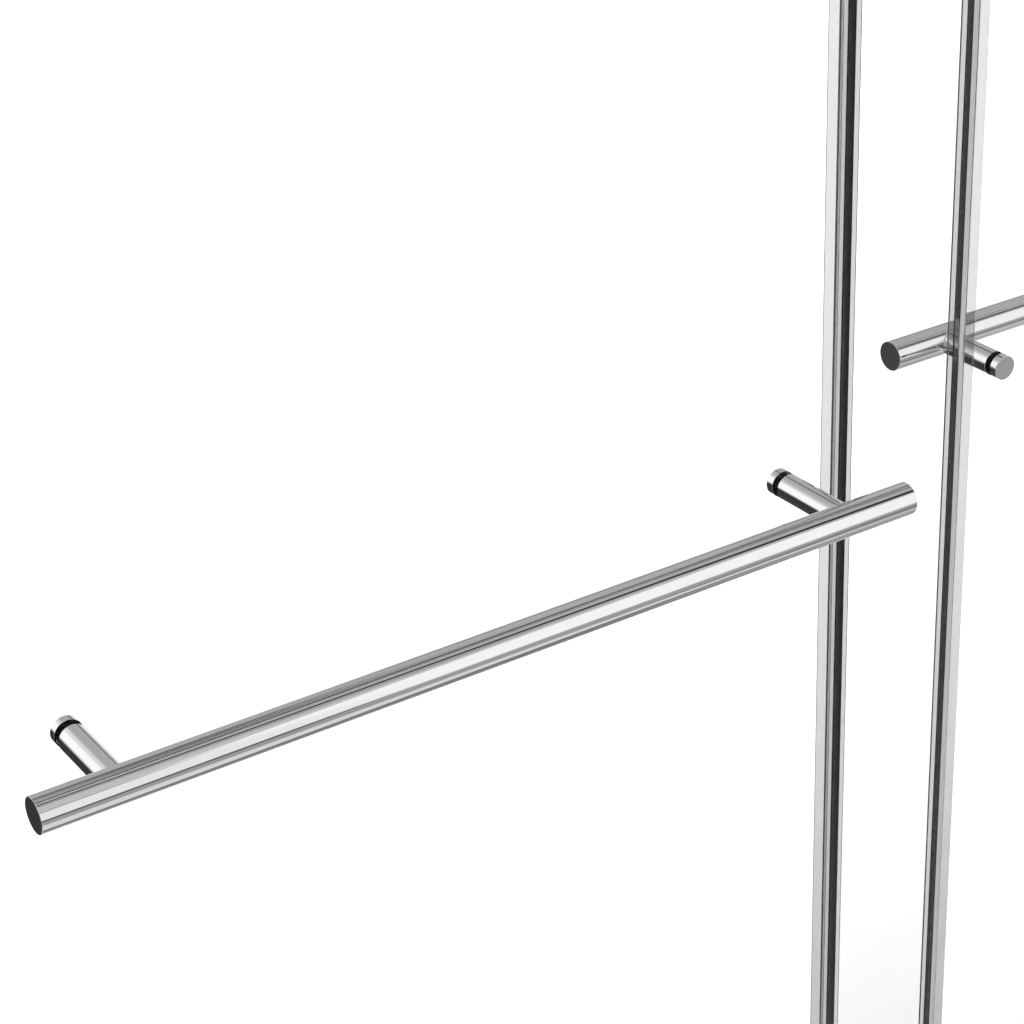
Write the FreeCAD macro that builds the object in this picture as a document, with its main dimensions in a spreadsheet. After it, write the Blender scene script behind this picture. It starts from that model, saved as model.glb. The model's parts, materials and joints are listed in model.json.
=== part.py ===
"""Two-panel bypass sliding glass door with a round towel bar on each panel.

Frame: X runs across the opening, Y from the front of the door to its back, Z up.
The origin is at the middle of the sill's underside.  The front panel rests at the
left and the rear panel at the right.  The rear panel is the front one turned half a
turn about Z, so every panel piece is built once, by one function, for both sides.
"""
import FreeCAD, Part
import os
import re

import Sketcher

# Driving dimensions, in millimetres.
DIMENSIONS = {
    "opening_width": 1575.0,
    "overall_height": 1500.0,
    "frame_depth": 102.0,
    # Sill, a closed hollow extrusion.
    "sill_height": 18.0,
    "sill_slope": 8.0,
    "sill_wall": 2.0,
    # Wall jambs, one extrusion used at both ends.
    "jamb_depth": 92.0,
    "jamb_reach": 25.0,
    "jamb_wall": 2.0,
    "jamb_hole_diameter": 5.0,
    "jamb_hole_pitch": 400.0,
    # Header, with a rail for each panel's rollers inside it.
    "header_height": 75.0,
    "header_wall": 2.5,
    "rail_height": 30.0,
    "rail_width": 12.0,
    "rail_lip": 4.0,
    "rail_lip_width": 1.5,
    "bracket_thickness": 3.0,
    "bracket_width": 60.0,
    "bracket_drop": 30.0,
    "bracket_reach": 26.0,
    "bracket_hole_pitch": 36.0,
    "bracket_hole_diameter": 5.0,
    "bracket_screw_diameter": 4.0,
    "screw_head_height": 2.0,
    "screw_head_chamfer": 0.7,
    # Guide on the sill and bumpers in the jambs.
    "guide_length": 34.0,
    "guide_base": 3.0,
    "guide_height": 22.0,
    "guide_slot": 11.0,
    "guide_finger": 4.0,
    "guide_screw_pitch": 22.0,
    "guide_screw_diameter": 4.0,
    "bumper_size": 12.0,
    "bumper_height": 30.0,
    "bumper_inset": 60.0,
    "bumper_clearance": 1.0,
    # Glass panels.
    "panel_width": 804.0,
    "panel_overlap": 58.0,
    "panel_spacing": 58.0,
    "panel_lift": 6.0,
    "glass_thickness": 8.0,
    "glass_top_gap": 38.0,
    # Clear seal on each panel's centre edge.
    "seal_wall": 1.5,
    "seal_leg": 9.0,
    "seal_base": 2.0,
    "seal_reach": 14.0,
    "seal_fin": 0.6,
    "seal_height": 1416.0,
    # Towel bars.
    "bar_height": 740.0,
    "bar_diameter": 22.0,
    "bar_wall": 1.5,
    "bar_length": 608.0,
    "bar_centres": 508.0,
    "bar_offset": 59.0,
    "bar_edge_distance": 148.0,
    "end_cap_flange": 2.0,
    "end_cap_spigot": 8.0,
    "standoff_diameter": 18.0,
    "edge_chamfer": 0.4,
    "gasket_flange": 0.5,
    "gasket_sleeve_diameter": 16.0,
    "gasket_sleeve_length": 7.0,
    "washer_thickness": 0.5,
    "back_cap_length": 6.0,
    "back_cap_socket": 4.5,
    "stud_diameter": 6.0,
    "stud_depth": 12.0,
    # Hangers and rollers, two to a panel.
    "hanger_edge_distance": 60.0,
    "hanger_width": 60.0,
    "hanger_thickness": 2.0,
    "hanger_drop": 28.0,
    "hanger_rise": 12.0,
    "clamp_thickness": 1.5,
    "clamp_height": 20.0,
    "hanger_hole_pitch": 36.0,
    "hanger_hole_drop": 16.0,
    "hanger_hole_diameter": 10.0,
    "hanger_screw_diameter": 6.0,
    "hanger_head_diameter": 11.0,
    "hanger_head_height": 3.0,
    "hanger_head_chamfer": 1.0,
    "axle_diameter": 6.0,
    "axle_shoulder_diameter": 8.4,
    "axle_head_diameter": 10.0,
    "axle_head_height": 2.0,
    "axle_flange": 1.0,
    "axle_flange_diameter": 9.0,
    "wheel_diameter": 24.0,
    "wheel_width": 7.0,
    "wheel_gap": 0.2,
    "wheel_lip_gap": 1.5,
    "wheel_round": 1.5,
    "bore_clearance": 0.05,
}

# Sizes worked out from the driving ones.
WORKED_OUT = {
    "header_bottom": "overall_height - header_height",
    "rail_top": "header_bottom + rail_height",
    "panel_plane": "panel_spacing / 2",
    "glass_front": "-panel_plane - glass_thickness / 2",
    "glass_back": "-panel_plane + glass_thickness / 2",
    "glass_bottom": "sill_height + panel_lift",
    "glass_top": "overall_height - glass_top_gap",
    "panel_right": "panel_overlap / 2",
    "panel_left": "panel_right - panel_width",
    "bar_plane": "glass_front - bar_offset",
    "standoff_right": "panel_right - bar_edge_distance",
    "standoff_left": "standoff_right - bar_centres",
    "bar_middle": "(standoff_left + standoff_right) / 2",
    "standoff_length": "bar_offset - gasket_flange",
    "jamb_height": "header_bottom - sill_height",
    "bumper_length": "opening_width / 2 - jamb_wall + panel_left - bumper_clearance",
    "hanger_left": "panel_left + hanger_edge_distance",
    "hanger_right": "panel_right - hanger_edge_distance",
    "hanger_hole_height": "glass_top - hanger_hole_drop",
    "axle_height": "rail_top + wheel_diameter / 2",
    "rail_inner": "frame_depth / 2 - header_wall - rail_width",
    "wheel_inner": "-rail_inner - rail_lip_width - wheel_lip_gap",
}

NO_TURN = FreeCAD.Rotation()
HALF_TURN = FreeCAD.Rotation(FreeCAD.Vector(0, 0, 1), 180)
Z_TO_Y = FreeCAD.Rotation(FreeCAD.Vector(1, 0, 0), -90)
Z_TO_MINUS_Y = FreeCAD.Rotation(FreeCAD.Vector(1, 0, 0), 90)
Z_TO_X = FreeCAD.Rotation(FreeCAD.Vector(0, 1, 0), 90)
Z_TO_MINUS_X = FreeCAD.Rotation(FreeCAD.Vector(0, 1, 0), -90)

doc = FreeCAD.newDocument("BypassDoor")
sheet = doc.addObject("Spreadsheet::Sheet", "Dims")
nodes = []


def fill_sheet():
    """Write the driving dimensions and the sizes worked out from them."""
    rows = {**{name: str(value) for name, value in DIMENSIONS.items()}, **WORKED_OUT}
    for row, (name, content) in enumerate(rows.items(), start=1):
        sheet.set(f"A{row}", name)
        sheet.setAlias(f"B{row}", name)
        sheet.set(f"B{row}", content if name in DIMENSIONS else "=" + content)
    doc.recompute()


def cells(expression):
    """Point every dimension's name in an expression at its cell in the sheet."""
    def to_cell(word):
        name = word.group()
        return f"Dims.{name}" if name in DIMENSIONS or name in WORKED_OUT else name
    return re.sub(r"[a-z][a-z_]+", to_cell, expression)


def value_of(expression):
    return float(sheet.evalExpression(cells(expression)))


def bind(item, prop, expression):
    item.setExpression(prop, cells(expression))


def place(item, x="0", y="0", z="0", rotation=NO_TURN, rear=False):
    """Place an object given where it is on the front panel; the rear one is turned half a turn."""
    turned_rotation = HALF_TURN.multiply(rotation) if rear else rotation
    item.Placement = FreeCAD.Placement(FreeCAD.Vector(), turned_rotation)
    sign = "-1" if rear else "1"
    bind(item, "Placement.Base.x", f"{sign} * ({x})")
    bind(item, "Placement.Base.y", f"{sign} * ({y})")
    bind(item, "Placement.Base.z", z)
    return item


def node(item, name):
    """Name a finished sub-part and list it for export."""
    item.Label = name
    nodes.append(item)
    return item


def origin_plane(body, role):
    return next(f for f in body.Origin.OriginFeatures if f.Role == role)


def pin_point(sketch, geometry, point, x, y):
    """Hold a sketch point at distances from the sketch's origin."""
    for kind, expression in (("DistanceX", x), ("DistanceY", y)):
        constraint = Sketcher.Constraint(kind, -1, 1, geometry, point, value_of(expression))
        index = sketch.addConstraint(constraint)
        bind(sketch, f"Constraints[{index}]", expression)


def add_outline(sketch, corners):
    """Add a closed outline of straight edges through the corners."""
    points = [FreeCAD.Vector(value_of(x), value_of(y), 0) for x, y in corners]
    first = sketch.GeometryCount
    count = len(points)
    for i in range(count):
        sketch.addGeometry(Part.LineSegment(points[i], points[(i + 1) % count]))
    for i in range(count):
        following = first + (i + 1) % count
        sketch.addConstraint(Sketcher.Constraint("Coincident", first + i, 2, following, 1))
        pin_point(sketch, first + i, 1, *corners[i])


def add_circle(sketch, x, y, diameter):
    centre = FreeCAD.Vector(value_of(x), value_of(y), 0)
    radius = value_of(diameter) / 2
    circle = sketch.addGeometry(Part.Circle(centre, FreeCAD.Vector(0, 0, 1), radius))
    pin_point(sketch, circle, 3, x, y)
    index = sketch.addConstraint(Sketcher.Constraint("Diameter", circle, 2 * radius))
    bind(sketch, f"Constraints[{index}]", diameter)


def new_sketch(body, role, outlines=(), circles=()):
    sketch = body.newObject("Sketcher::SketchObject", body.Name + "_sketch")
    sketch.AttachmentSupport = (origin_plane(body, role), [""])
    sketch.MapMode = "FlatFace"
    for corners in outlines:
        add_outline(sketch, corners)
    for circle in circles:
        add_circle(sketch, *circle)
    return sketch


def padded(name, role, length, outlines=(), circles=()):
    """A body padded from one sketch; inner outlines and circles are holes."""
    body = doc.addObject("PartDesign::Body", name)
    pad = body.newObject("PartDesign::Pad", name + "_pad")
    pad.Profile = new_sketch(body, role, outlines, circles)
    bind(pad, "Length", length)
    return body


def turned(name, corners):
    """A body turned about its own Z axis from an outline of (radius, height) corners."""
    body = doc.addObject("PartDesign::Body", name)
    sketch = new_sketch(body, "XZ_Plane", [corners])
    revolution = body.newObject("PartDesign::Revolution", name + "_turn")
    revolution.Profile = sketch
    revolution.ReferenceAxis = (sketch, ["V_Axis"])
    revolution.Angle = 360
    return body


def cylinder(diameter, length, x="0", y="0", z="0", rotation=NO_TURN):
    item = doc.addObject("Part::Cylinder", "Cylinder")
    bind(item, "Radius", f"({diameter}) / 2")
    bind(item, "Height", length)
    return place(item, x, y, z, rotation)


def box(length, width, height, x, y, z):
    item = doc.addObject("Part::Box", "Box")
    bind(item, "Length", length)
    bind(item, "Width", width)
    bind(item, "Height", height)
    return place(item, x, y, z)


def together(items):
    """Identical pieces kept as separate solids of one node."""
    compound = doc.addObject("Part::Compound", "Set")
    compound.Links = items
    return compound


def cut(base, tools):
    item = doc.addObject("Part::Cut", "Cut")
    item.Base = base
    item.Tool = together(tools) if len(tools) > 1 else tools[0]
    return item


def rectangle(x_low, x_high, y_low, y_high):
    return [(x_low, y_low), (x_high, y_low), (x_high, y_high), (x_low, y_high)]


# ---- Fixed frame ----


def make_sill():
    def outline(inset):
        half = f"(frame_depth / 2 - {inset})"
        return [
            (f"-{half}", inset),
            (half, inset),
            (half, "sill_height - sill_slope"),
            (f"{half} - sill_slope", f"sill_height - {inset}"),
            (f"sill_slope - {half}", f"sill_height - {inset}"),
            (f"-{half}", "sill_height - sill_slope"),
        ]
    body = padded("Sill", "YZ_Plane", "opening_width", [outline("0"), outline("sill_wall")])
    node(place(body, x="-opening_width / 2"), "sill")


def make_header():
    """A box open below, with a lipped rail along the inside of each face."""
    half = "frame_depth / 2"
    inside = f"({half} - header_wall)"
    lip = "(rail_inner + rail_lip_width)"
    right = [
        (half, "overall_height"),
        (half, "header_bottom"),
        (inside, "header_bottom"),
        (inside, "rail_top - header_wall"),
        ("rail_inner", "rail_top - header_wall"),
        ("rail_inner", "rail_top + rail_lip"),
        (lip, "rail_top + rail_lip"),
        (lip, "rail_top"),
        (inside, "rail_top"),
        (inside, "overall_height - header_wall"),
    ]
    left = [(f"-1 * ({y})", z) for y, z in reversed(right)]
    body = padded("Header", "YZ_Plane", "opening_width", [right + left])
    node(place(body, x="-opening_width / 2"), "header")


def make_jambs():
    """A channel screwed to each wall; the right one is the left one turned round."""
    half = "jamb_depth / 2"
    for side, rear in (("left", False), ("right", True)):
        section = [
            ("0", f"-{half}"),
            ("jamb_reach", f"-{half}"),
            ("jamb_reach", f"jamb_wall - {half}"),
            ("jamb_wall", f"jamb_wall - {half}"),
            ("jamb_wall", f"{half} - jamb_wall"),
            ("jamb_reach", f"{half} - jamb_wall"),
            ("jamb_reach", half),
            ("0", half),
        ]
        body = padded(f"Jamb{side}", "XY_Plane", "jamb_height", [section])
        holes = new_sketch(body, "YZ_Plane", circles=[
            ("0", f"jamb_height / 2 + ({row}) * jamb_hole_pitch", "jamb_hole_diameter")
            for row in (-1.5, -0.5, 0.5, 1.5)
        ])
        doc.recompute()
        solid_volume = body.Shape.Volume
        pocket = body.newObject("PartDesign::Pocket", f"Jamb{side}_holes")
        pocket.Profile = holes
        pocket.Type = "ThroughAll"
        pocket.Reversed = True
        doc.recompute()
        if body.Shape.Volume >= solid_volume:
            raise RuntimeError("the jamb's screw holes cut nothing")
        place(body, x="-opening_width / 2", z="sill_height", rear=rear)
        node(body, f"jamb_{side}")


def make_header_brackets():
    """An angle inside each end of the header, screwed to the wall and to the header's top."""
    top = "(overall_height - header_wall)"
    screw_x = "(bracket_thickness + bracket_reach / 2)"
    for side, rear in (("left", False), ("right", True)):
        section = [
            ("0", f"{top} - bracket_drop"),
            ("bracket_thickness", f"{top} - bracket_drop"),
            ("bracket_thickness", f"{top} - bracket_thickness"),
            ("bracket_thickness + bracket_reach", f"{top} - bracket_thickness"),
            ("bracket_thickness + bracket_reach", top),
            ("0", top),
        ]
        angle = padded(f"Bracket{side}", "XZ_Plane", "bracket_width", [section])
        place(angle, y="bracket_width / 2")
        tools = []
        for sign in ("-1", "1"):
            y = f"{sign} * bracket_hole_pitch / 2"
            tools.append(cylinder("bracket_hole_diameter", "bracket_thickness", y=y,
                                  z=f"{top} - bracket_drop / 2 - bracket_thickness / 2",
                                  rotation=Z_TO_X))
            tools.append(cylinder("bracket_screw_diameter", "bracket_thickness", x=screw_x, y=y,
                                  z=f"{top} - bracket_thickness"))
        node(place(cut(angle, tools), x="-opening_width / 2", rear=rear), f"header_bracket_{side}")


def make_bracket_screws():
    """Screws up through each bracket's foot into the header's top, heads below."""
    screw_x = "(bracket_thickness + bracket_reach / 2 - opening_width / 2)"
    bottom = "(overall_height - header_wall - bracket_thickness - screw_head_height)"
    outline = [
        ("0", "0"),
        ("bracket_screw_diameter - screw_head_chamfer", "0"),
        ("bracket_screw_diameter", "screw_head_chamfer"),
        ("bracket_screw_diameter", "screw_head_height"),
        ("bracket_screw_diameter / 2", "screw_head_height"),
        ("bracket_screw_diameter / 2", "screw_head_height + bracket_thickness"),
        ("0", "screw_head_height + bracket_thickness"),
    ]
    screws = []
    for sign_x in ("-1", "1"):
        for sign_y in ("-1", "1"):
            body = turned("BracketScrew", outline)
            x = f"{sign_x} * {screw_x}"
            screws.append(place(body, x, f"{sign_y} * bracket_hole_pitch / 2", bottom))
    node(together(screws), "header_bracket_screws")


def make_guide():
    """A block on the sill with a slot for each panel's lower edge."""
    slot_in = "(panel_plane - guide_slot / 2)"
    slot_out = "(panel_plane + guide_slot / 2)"
    right = [
        (f"{slot_out} + guide_finger", "0"),
        (f"{slot_out} + guide_finger", "guide_height"),
        (slot_out, "guide_height"),
        (slot_out, "guide_base"),
        (slot_in, "guide_base"),
        (slot_in, "guide_height"),
        (f"{slot_in} - guide_finger", "guide_height"),
        (f"{slot_in} - guide_finger", "guide_base"),
    ]
    left = [(f"-1 * ({y})", z) for y, z in reversed(right)]
    body = padded("Guide", "YZ_Plane", "guide_length", [right + left])
    place(body, x="-guide_length / 2", z="sill_height")
    holes = [
        cylinder("guide_screw_diameter", "guide_base", z="sill_height",
                 x=f"{sign} * guide_screw_pitch / 2")
        for sign in ("-1", "1")
    ]
    node(cut(body, holes), "floor_guide")
    outline = [
        ("0", "0"),
        ("guide_screw_diameter / 2", "0"),
        ("guide_screw_diameter / 2", "guide_base"),
        ("guide_screw_diameter", "guide_base"),
        ("guide_screw_diameter", "guide_base + screw_head_height - screw_head_chamfer"),
        ("guide_screw_diameter - screw_head_chamfer", "guide_base + screw_head_height"),
        ("0", "guide_base + screw_head_height"),
    ]
    screws = [
        place(turned("GuideScrew", outline), f"{sign} * guide_screw_pitch / 2", "0", "sill_height")
        for sign in ("-1", "1")
    ]
    node(together(screws), "floor_guide_screws")


def make_bumpers():
    """Rubber blocks low and high in each jamb, one pair in each panel's plane."""
    for side, rear in (("left", False), ("right", True)):
        blocks = []
        for plane in ("-1", "1"):
            for height in ("sill_height + bumper_inset",
                           "header_bottom - bumper_inset - bumper_height"):
                blocks.append(box("bumper_length", "bumper_size", "bumper_height",
                                  "jamb_wall - opening_width / 2",
                                  f"{plane} * panel_plane - bumper_size / 2", height))
        node(place(together(blocks), rear=rear), f"bumpers_{side}")


# ---- Panels ----


def panel_glass(panel, rear):
    def hole(x, z, diameter):
        return (f"({x}) - panel_left", f"({z}) - glass_bottom", diameter)
    holes = [hole(x, "bar_height", "gasket_sleeve_diameter")
             for x in ("standoff_left", "standoff_right")]
    for x in ("hanger_left", "hanger_right"):
        for sign in ("-1", "1"):
            offset = f"{x} + {sign} * hanger_hole_pitch / 2"
            holes.append(hole(offset, "hanger_hole_height", "hanger_hole_diameter"))
    edge = rectangle("0", "panel_width", "0", "glass_top - glass_bottom")
    body = padded(f"Glass{panel}", "XZ_Plane", "glass_thickness", [edge], holes)
    place(body, "panel_left", "glass_back", "glass_bottom", rear=rear)
    node(body, f"{panel}_glass")


def panel_seal(panel, rear):
    """A clear channel on the centre edge, with a flat fin reaching past it."""
    half = "(glass_thickness / 2)"
    outer = "(glass_thickness / 2 + seal_wall)"
    section = [
        ("-seal_leg", f"-{outer}"),
        ("seal_base", f"-{outer}"),
        ("seal_base", "-seal_fin / 2"),
        ("seal_reach", "-seal_fin / 2"),
        ("seal_reach", "seal_fin / 2"),
        ("seal_base", "seal_fin / 2"),
        ("seal_base", outer),
        ("-seal_leg", outer),
        ("-seal_leg", half),
        ("0", half),
        ("0", f"-{half}"),
        ("-seal_leg", f"-{half}"),
    ]
    body = padded(f"Seal{panel}", "XY_Plane", "seal_height", [section])
    place(body, "panel_right", "-panel_plane", "glass_bottom", rear=rear)
    node(body, f"{panel}_centre_seal")


def bar_tube(panel, rear):
    length = "bar_length - 2 * end_cap_flange"
    rings = [("0", "0", "bar_diameter"), ("0", "0", "bar_diameter - 2 * bar_wall")]
    body = padded(f"Bar{panel}", "YZ_Plane", length, circles=rings)
    place(body, f"bar_middle - ({length}) / 2", "bar_plane", "bar_height", rear=rear)
    node(body, f"{panel}_bar_tube")


def bar_end_caps(panel, rear):
    """Plugs with a flange flush with the tube's outside."""
    bore = "bar_diameter / 2 - bar_wall"
    outline = [
        ("0", "-end_cap_spigot"),
        (bore, "-end_cap_spigot"),
        (bore, "0"),
        ("bar_diameter / 2", "0"),
        ("bar_diameter / 2", "end_cap_flange - edge_chamfer"),
        ("bar_diameter / 2 - edge_chamfer", "end_cap_flange"),
        ("0", "end_cap_flange"),
    ]
    for side, sign, rotation in (("left", "-1", Z_TO_MINUS_X), ("right", "1", Z_TO_X)):
        body = turned(f"EndCap{panel}{side}", outline)
        x = f"bar_middle + {sign} * (bar_length / 2 - end_cap_flange)"
        place(body, x, "bar_plane", "bar_height", rotation, rear)
        node(body, f"{panel}_bar_end_cap_{side}")


def standoffs(panel, rear):
    """Round posts from the bar to the glass, coped to the tube, with a blind hole for the stud."""
    for side in ("left", "right"):
        x = f"standoff_{side}"
        post = cylinder("standoff_diameter", "standoff_length", x, "bar_plane", "bar_height", Z_TO_Y)
        saddle = cylinder("bar_diameter", "4 * bar_diameter", f"{x} - 2 * bar_diameter",
                          "bar_plane", "bar_height", Z_TO_X)
        socket = cylinder("stud_diameter", "stud_depth", x, "glass_front - gasket_flange - stud_depth",
                          "bar_height", Z_TO_Y)
        item = cut(post, [saddle, socket])
        node(place(item, rear=rear), f"{panel}_standoff_{side}")


def gaskets(panel, rear):
    """A flanged sleeve that keeps each post and stud off the glass."""
    outline = [
        ("stud_diameter / 2", "-gasket_flange"),
        ("standoff_diameter / 2", "-gasket_flange"),
        ("standoff_diameter / 2", "0"),
        ("gasket_sleeve_diameter / 2", "0"),
        ("gasket_sleeve_diameter / 2", "gasket_sleeve_length"),
        ("stud_diameter / 2", "gasket_sleeve_length"),
    ]
    for side in ("left", "right"):
        body = turned(f"Gasket{panel}{side}", outline)
        place(body, f"standoff_{side}", "glass_front", "bar_height", Z_TO_Y, rear)
        node(body, f"{panel}_gasket_{side}")


def back_caps(panel, rear):
    """Round nuts behind the glass, each over a thin washer and the end of the stud."""
    radius = "standoff_diameter / 2"
    outline = [
        ("0", "back_cap_socket"),
        ("stud_diameter / 2", "back_cap_socket"),
        ("stud_diameter / 2", "0"),
        (radius, "0"),
        (radius, "back_cap_length - edge_chamfer"),
        (f"{radius} - edge_chamfer", "back_cap_length"),
        ("0", "back_cap_length"),
    ]
    for side in ("left", "right"):
        body = turned(f"BackCap{panel}{side}", outline)
        place(body, f"standoff_{side}", "glass_back + washer_thickness", "bar_height", Z_TO_Y, rear)
        node(body, f"{panel}_back_cap_{side}")


def bar_fasteners(panel, rear):
    washers = []
    studs = []
    for side in ("left", "right"):
        x = f"standoff_{side}"
        disc = cylinder("standoff_diameter", "washer_thickness", x, "glass_back", "bar_height", Z_TO_Y)
        hole = cylinder("stud_diameter", "washer_thickness", x, "glass_back", "bar_height", Z_TO_Y)
        washers.append(cut(disc, [hole]))
        length = "gasket_flange + stud_depth + glass_thickness + washer_thickness + back_cap_socket"
        studs.append(cylinder("stud_diameter", length, x, "glass_front - gasket_flange - stud_depth",
                              "bar_height", Z_TO_Y))
    node(place(together(washers), rear=rear), f"{panel}_cap_washers")
    node(place(together(studs), rear=rear), f"{panel}_bar_studs")


def hangers(panel, rear):
    """A plate on the panel's back face and a clamp on its front face, screwed through the glass."""
    for side in ("left", "right"):
        centre = f"hanger_{side}"
        pitch = "hanger_hole_pitch / 2"
        bottom = "(glass_top - hanger_drop)"
        plate = padded(
            f"Hanger{panel}{side}", "XZ_Plane", "hanger_thickness",
            [rectangle("-hanger_width / 2", "hanger_width / 2", "0", "hanger_drop + hanger_rise")],
            [(f"-{pitch}", f"hanger_hole_height - {bottom}", "hanger_screw_diameter"),
             (pitch, f"hanger_hole_height - {bottom}", "hanger_screw_diameter"),
             ("0", f"axle_height - {bottom}", "axle_diameter")])
        place(plate, centre, "glass_back + hanger_thickness", bottom, rear=rear)
        node(plate, f"{panel}_hanger_{side}")
        clamp = padded(
            f"Clamp{panel}{side}", "XZ_Plane", "clamp_thickness",
            [rectangle("-hanger_width / 2", "hanger_width / 2",
                       "-clamp_height / 2", "clamp_height / 2")],
            [(f"-{pitch}", "0", "hanger_screw_diameter"), (pitch, "0", "hanger_screw_diameter")])
        place(clamp, centre, "glass_front", "hanger_hole_height", rear=rear)
        node(clamp, f"{panel}_clamp_{side}")


def hanger_fasteners(panel, rear):
    grip = "(hanger_thickness + glass_thickness + clamp_thickness)"
    screw_outline = [
        ("0", "-hanger_head_height"),
        ("hanger_head_diameter / 2 - hanger_head_chamfer", "-hanger_head_height"),
        ("hanger_head_diameter / 2", "hanger_head_chamfer - hanger_head_height"),
        ("hanger_head_diameter / 2", "0"),
        ("hanger_screw_diameter / 2", "0"),
        ("hanger_screw_diameter / 2", grip),
        ("0", grip),
    ]
    sleeve_outline = rectangle("hanger_screw_diameter / 2", "hanger_hole_diameter / 2",
                               "0", "glass_thickness")
    screws = []
    sleeves = []
    for side in ("left", "right"):
        for sign in ("-1", "1"):
            x = f"hanger_{side} + {sign} * hanger_hole_pitch / 2"
            screw = turned("HangerScrew", screw_outline)
            screws.append(place(screw, x, "glass_back + hanger_thickness", "hanger_hole_height",
                                Z_TO_MINUS_Y))
            sleeve = turned("HangerSleeve", sleeve_outline)
            sleeves.append(place(sleeve, x, "glass_back", "hanger_hole_height", Z_TO_MINUS_Y))
    node(place(together(screws), rear=rear), f"{panel}_hanger_screws")
    node(place(together(sleeves), rear=rear), f"{panel}_hanger_sleeves")


def axles(panel, rear):
    """A shouldered pin riveted in each hanger; it passes over the glass to the roller."""
    plate = "hanger_thickness"
    shoulder_end = "(glass_back - wheel_inner - wheel_gap)"
    flange_start = f"({shoulder_end} + wheel_width + 2 * wheel_gap)"
    outline = [
        ("0", "-axle_head_height"),
        ("axle_head_diameter / 2", "-axle_head_height"),
        ("axle_head_diameter / 2", "0"),
        ("axle_diameter / 2", "0"),
        ("axle_diameter / 2", plate),
        ("axle_shoulder_diameter / 2", plate),
        ("axle_shoulder_diameter / 2", f"{plate} + {shoulder_end}"),
        ("axle_diameter / 2", f"{plate} + {shoulder_end}"),
        ("axle_diameter / 2", f"{plate} + {flange_start}"),
        ("axle_flange_diameter / 2", f"{plate} + {flange_start}"),
        ("axle_flange_diameter / 2", f"{plate} + {flange_start} + axle_flange"),
        ("0", f"{plate} + {flange_start} + axle_flange"),
    ]
    for side in ("left", "right"):
        body = turned(f"Axle{panel}{side}", outline)
        place(body, f"hanger_{side}", "glass_back + hanger_thickness", "axle_height",
              Z_TO_MINUS_Y, rear)
        node(body, f"{panel}_axle_{side}")


def rollers(panel, rear):
    """Nylon wheels that run on the header's rail."""
    radius = "wheel_diameter / 2"
    bore = "axle_diameter / 2 + bore_clearance"
    outline = [
        (bore, "0"),
        (f"{radius} - wheel_round", "0"),
        (radius, "wheel_round"),
        (radius, "wheel_width - wheel_round"),
        (f"{radius} - wheel_round", "wheel_width"),
        (bore, "wheel_width"),
    ]
    for side in ("left", "right"):
        body = turned(f"Roller{panel}{side}", outline)
        place(body, f"hanger_{side}", "wheel_inner", "axle_height", Z_TO_MINUS_Y, rear)
        node(body, f"{panel}_roller_{side}")


def make_panel(panel, rear):
    panel_glass(panel, rear)
    panel_seal(panel, rear)
    bar_tube(panel, rear)
    bar_end_caps(panel, rear)
    standoffs(panel, rear)
    gaskets(panel, rear)
    back_caps(panel, rear)
    bar_fasteners(panel, rear)
    hangers(panel, rear)
    hanger_fasteners(panel, rear)
    axles(panel, rear)
    rollers(panel, rear)


def check_document():
    for item in doc.Objects:
        if "Invalid" in item.State or "Error" in item.State:
            raise RuntimeError(f"{item.Label} failed: {item.State}")
    for item in nodes:
        if item.Shape.isNull() or not item.Shape.isValid():
            raise RuntimeError(f"{item.Label} has no valid shape")


def write_parts():
    os.makedirs("parts", exist_ok=True)
    for item in nodes:
        item.Shape.exportStep(f"parts/{item.Label}.step")
        print(f"{item.Label}: {len(item.Shape.Solids)} solid(s), {item.Shape.Volume:.0f} mm3")


fill_sheet()
make_sill()
make_header()
make_jambs()
make_header_brackets()
make_bracket_screws()
make_guide()
make_bumpers()
make_panel("front", rear=False)
make_panel("rear", rear=True)
doc.recompute()
check_document()
write_parts()
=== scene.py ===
import json
import math

import bmesh
import bpy
from mathutils import Matrix, Vector

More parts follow.
